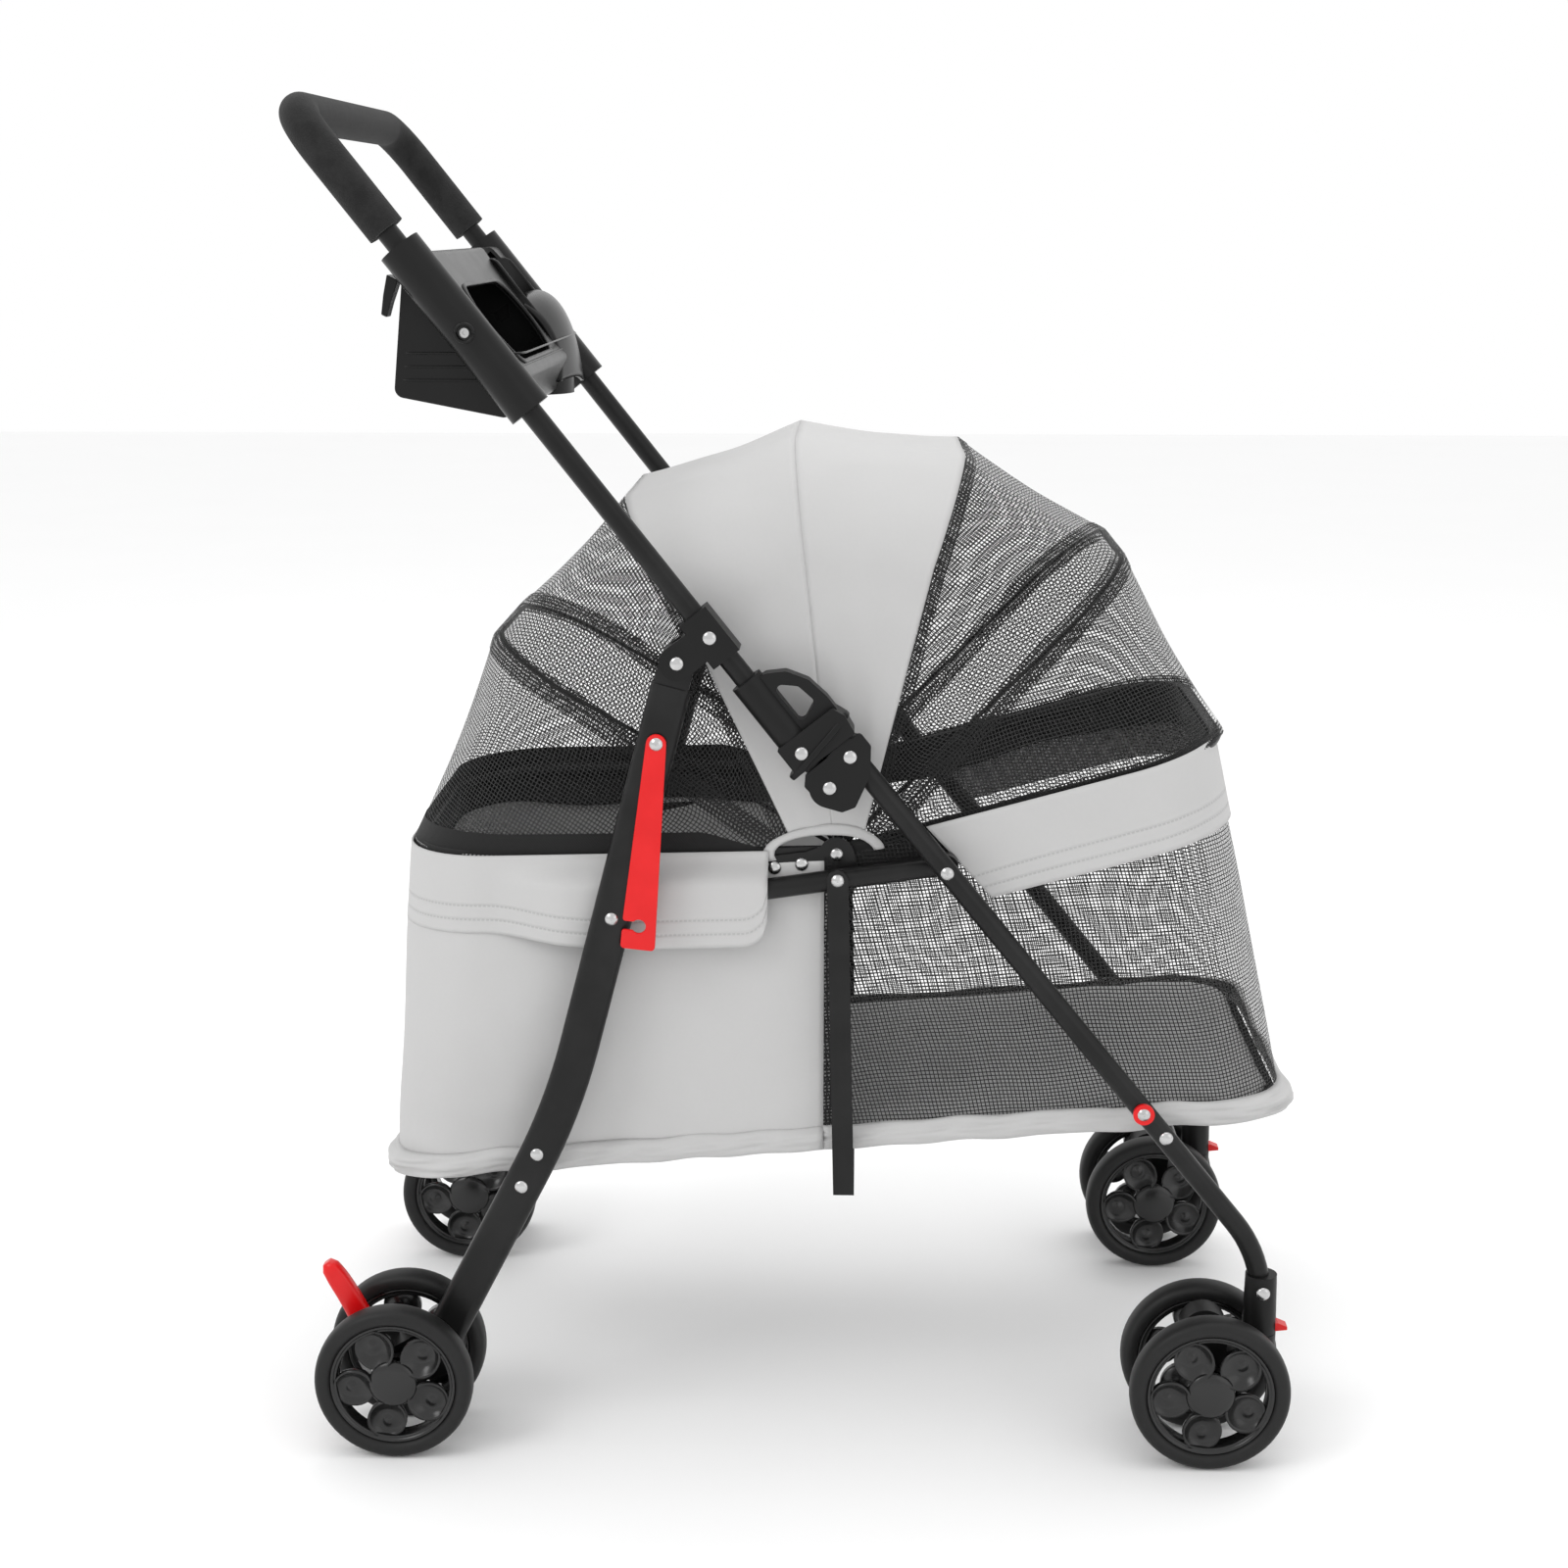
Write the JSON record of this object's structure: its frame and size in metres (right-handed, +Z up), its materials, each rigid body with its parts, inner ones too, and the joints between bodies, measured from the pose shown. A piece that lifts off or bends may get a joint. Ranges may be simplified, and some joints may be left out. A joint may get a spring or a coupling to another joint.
{
  "type": "pet stroller",
  "caption": "Folding pet stroller with twin-wheel casters, a mesh-windowed fabric basket and domed canopy, and a push handle carrying a storage tray with a cup well.",
  "frame": {"origin": "middle of the footprint on the floor: halfway along the stroller's length and width, at the bottom of the wheels", "axes": "+X forwards, towards the swivelling front wheels; +Y to the stroller's left; +Z up"},
  "size_m": [0.746, 0.458, 1.0177],
  "materials": {
    "tube_black": "satin black powder coat on steel tube",
    "plastic_black": "fine moulded texture, satin",
    "tray_black": "smooth moulded, half gloss",
    "foam_grey": "closed-cell foam, matt",
    "red_plastic": "moulded, glossy",
    "steel": "bright zinc-plated",
    "tyre_black": "smooth moulded foam tyre, satin",
    "rim_black": "moulded, half gloss",
    "fabric_grey": "coated plain-weave polyester, matt",
    "mesh_black": "open knitted mesh, matt",
    "pad_grey": "plain-weave polyester over a stiff board"
  },
  "bodies": {
    "rear_frame": {"rear_leg_right": "tube_black", "rear_leg_left": "tube_black", "rear_feet": "plastic_black", "rear_axles": "steel", "rear_cross_tube": "tube_black", "rear_rivets": "steel"},
    "handle": {"handle_tube": "tube_black", "handle_grip": "foam_grey", "pivot_clamps": "plastic_black", "cup_tray": "tray_black", "tray_screws": "steel"},
    "front_frame": {"front_leg_right": "tube_black", "front_leg_left": "tube_black", "lock_brackets": "plastic_black", "front_cross_tube": "tube_black", "leg_sockets": "plastic_black", "front_rivets": "steel", "catch_ring": "red_plastic"},
    "seat_frame": {"side_links": "tube_black", "hub_plates": "tube_black", "support_strap": "tube_black", "front_hoop": "tube_black", "seat_rivets": "steel", "basket_fabric": "fabric_grey", "basket_mesh": "mesh_black", "basket_floor": "pad_grey", "canopy_cover": "fabric_grey"},
    "rear_hoop": {"rear_hoop": "tube_black"},
    "fold_latch": {"fold_latch": "red_plastic"},
    "front_bow": {"front_bow": "tube_black"},
    "front_rib": {"front_rib": "tube_black"},
    "ridge_bow": {"ridge_bow": "tube_black"},
    "rear_rib": {"rear_rib": "tube_black"},
    "rear_bow": {"rear_bow": "tube_black"},
    "lock_sleeve_right": {"lock_sleeve_right": "plastic_black"},
    "caster_right": {"caster_fork_right": "plastic_black", "front_axle_right": "steel"},
    "swivel_lock_right": {"swivel_lock_right": "red_plastic"},
    "brake_pedal_right": {"brake_pedal_right": "red_plastic"},
    "rear_right_outer_wheel": {"rear_right_outer_tyre": "tyre_black", "rear_right_outer_rim": "rim_black"},
    "rear_right_inner_wheel": {"rear_right_inner_tyre": "tyre_black", "rear_right_inner_rim": "rim_black"},
    "front_right_outer_wheel": {"front_right_outer_tyre": "tyre_black", "front_right_outer_rim": "rim_black"},
    "front_right_inner_wheel": {"front_right_inner_tyre": "tyre_black", "front_right_inner_rim": "rim_black"},
    "lock_sleeve_left": {"lock_sleeve_left": "plastic_black"},
    "caster_left": {"caster_fork_left": "plastic_black", "front_axle_left": "steel"},
    "swivel_lock_left": {"swivel_lock_left": "red_plastic"},
    "brake_pedal_left": {"brake_pedal_left": "red_plastic"},
    "rear_left_outer_wheel": {"rear_left_outer_tyre": "tyre_black", "rear_left_outer_rim": "rim_black"},
    "rear_left_inner_wheel": {"rear_left_inner_tyre": "tyre_black", "rear_left_inner_rim": "rim_black"},
    "front_left_outer_wheel": {"front_left_outer_tyre": "tyre_black", "front_left_outer_rim": "rim_black"},
    "front_left_inner_wheel": {"front_left_inner_tyre": "tyre_black", "front_left_inner_rim": "rim_black"}
  },
  "joints": [
    {"name": "fold", "type": "hinge", "parent": "rear_frame", "child": "handle", "pos_m": [-0.09072, 0, 0.61699], "axis": [0, -1, 0], "range_deg": [0, 105]},
    {"name": "leg_fold", "type": "hinge", "parent": "handle", "child": "front_frame", "pos_m": [0.0202, 0, 0.5254], "axis": [0, -1, 0], "range_deg": [-150, 0]},
    {"name": "seat_fold", "type": "hinge", "parent": "rear_frame", "child": "seat_frame", "pos_m": [-0.14152, 0, 0.42335], "axis": [0, -1, 0], "range_deg": [0, 51.5], "deforming": ["basket_fabric", "basket_mesh", "basket_floor"]},
    {"name": "rear_hoop_fold", "type": "hinge", "parent": "seat_frame", "child": "rear_hoop", "pos_m": [0.0253, 0, 0.4654], "axis": [0, -1, 0], "range_deg": [0, 25]},
    {"name": "canopy_fold", "type": "hinge", "parent": "seat_frame", "child": "front_bow", "pos_m": [0.0253, 0, 0.4654], "axis": [0, 1, 0], "range_deg": [0, 22], "deforming": ["canopy_cover"]},
    {"name": "front_rib_fold", "type": "hinge", "parent": "front_bow", "child": "front_rib", "pos_m": [0.0253, 0, 0.4654], "axis": [0, 1, 0], "range_deg": [0, 21]},
    {"name": "ridge_fold", "type": "hinge", "parent": "front_rib", "child": "ridge_bow", "pos_m": [0.0253, 0, 0.4654], "axis": [0, 1, 0], "range_deg": [0, 16.5]},
    {"name": "rear_rib_fold", "type": "hinge", "parent": "ridge_bow", "child": "rear_rib", "pos_m": [0.0253, 0, 0.4654], "axis": [0, 1, 0], "range_deg": [0, 18.5]},
    {"name": "rear_bow_fold", "type": "hinge", "parent": "rear_rib", "child": "rear_bow", "pos_m": [0.0253, 0, 0.4654], "axis": [0, 1, 0], "range_deg": [0, 23.5]},
    {"name": "latch_swing", "type": "hinge", "parent": "rear_frame", "child": "fold_latch", "pos_m": [-0.10645, -0.195, 0.55702], "axis": [0, -1, 0], "range_deg": [0, 45]},
    {"name": "lock_lift_right", "type": "slide", "parent": "handle", "child": "lock_sleeve_right", "axis": [-0.6191, 0, 0.7853], "range_m": [0, 0.02]},
    {"name": "caster_swivel_right", "type": "hinge", "parent": "front_frame", "child": "caster_right", "pos_m": [0.352, -0.185, 0.09], "axis": [0, 0, 1], "continuous": true},
    {"name": "swivel_lock_lift_right", "type": "slide", "parent": "front_frame", "child": "swivel_lock_right", "axis": [0, 0, 1], "range_m": [0, 0.003]},
    {"name": "brake_press_right", "type": "hinge", "parent": "rear_frame", "child": "brake_pedal_right", "pos_m": [-0.337, -0.185, 0.082], "axis": [0, -1, 0], "range_deg": [-18, 20]},
    {"name": "rear_right_outer_spin", "type": "hinge", "parent": "rear_frame", "child": "rear_right_outer_wheel", "pos_m": [-0.312, -0.218, 0.061], "axis": [0, 1, 0], "continuous": true},
    {"name": "rear_right_inner_spin", "type": "hinge", "parent": "rear_frame", "child": "rear_right_inner_wheel", "pos_m": [-0.312, -0.152, 0.061], "axis": [0, 1, 0], "continuous": true},
    {"name": "front_right_outer_spin", "type": "hinge", "parent": "caster_right", "child": "front_right_outer_wheel", "pos_m": [0.3115, -0.218, 0.061], "axis": [0, 1, 0], "continuous": true},
    {"name": "front_right_inner_spin", "type": "hinge", "parent": "caster_right", "child": "front_right_inner_wheel", "pos_m": [0.3115, -0.152, 0.061], "axis": [0, 1, 0], "continuous": true},
    {"name": "lock_lift_left", "type": "slide", "parent": "handle", "child": "lock_sleeve_left", "axis": [-0.6191, 0, 0.7853], "range_m": [0, 0.02]},
    {"name": "caster_swivel_left", "type": "hinge", "parent": "front_frame", "child": "caster_left", "pos_m": [0.352, 0.185, 0.09], "axis": [0, 0, 1], "continuous": true},
    {"name": "swivel_lock_lift_left", "type": "slide", "parent": "front_frame", "child": "swivel_lock_left", "axis": [0, 0, 1], "range_m": [0, 0.003]},
    {"name": "brake_press_left", "type": "hinge", "parent": "rear_frame", "child": "brake_pedal_left", "pos_m": [-0.337, 0.185, 0.082], "axis": [0, -1, 0], "range_deg": [-18, 20]},
    {"name": "rear_left_outer_spin", "type": "hinge", "parent": "rear_frame", "child": "rear_left_outer_wheel", "pos_m": [-0.312, 0.218, 0.061], "axis": [0, 1, 0], "continuous": true},
    {"name": "rear_left_inner_spin", "type": "hinge", "parent": "rear_frame", "child": "rear_left_inner_wheel", "pos_m": [-0.312, 0.152, 0.061], "axis": [0, 1, 0], "continuous": true},
    {"name": "front_left_outer_spin", "type": "hinge", "parent": "caster_left", "child": "front_left_outer_wheel", "pos_m": [0.3115, 0.218, 0.061], "axis": [0, 1, 0], "continuous": true},
    {"name": "front_left_inner_spin", "type": "hinge", "parent": "caster_left", "child": "front_left_inner_wheel", "pos_m": [0.3115, 0.152, 0.061], "axis": [0, 1, 0], "continuous": true}
  ],
  "couplings": [
    {"joint": "leg_fold", "follows": "fold", "ratio": -1.4286},
    {"joint": "seat_fold", "follows": "fold", "ratio": 0.4902},
    {"joint": "rear_hoop_fold", "follows": "fold", "ratio": 0.238},
    {"joint": "rear_bow_fold", "follows": "fold", "ratio": 0.2238},
    {"joint": "front_rib_fold", "follows": "canopy_fold", "ratio": 0.95455},
    {"joint": "ridge_fold", "follows": "canopy_fold", "ratio": 0.75},
    {"joint": "rear_rib_fold", "follows": "canopy_fold", "ratio": 0.84}
  ]
}
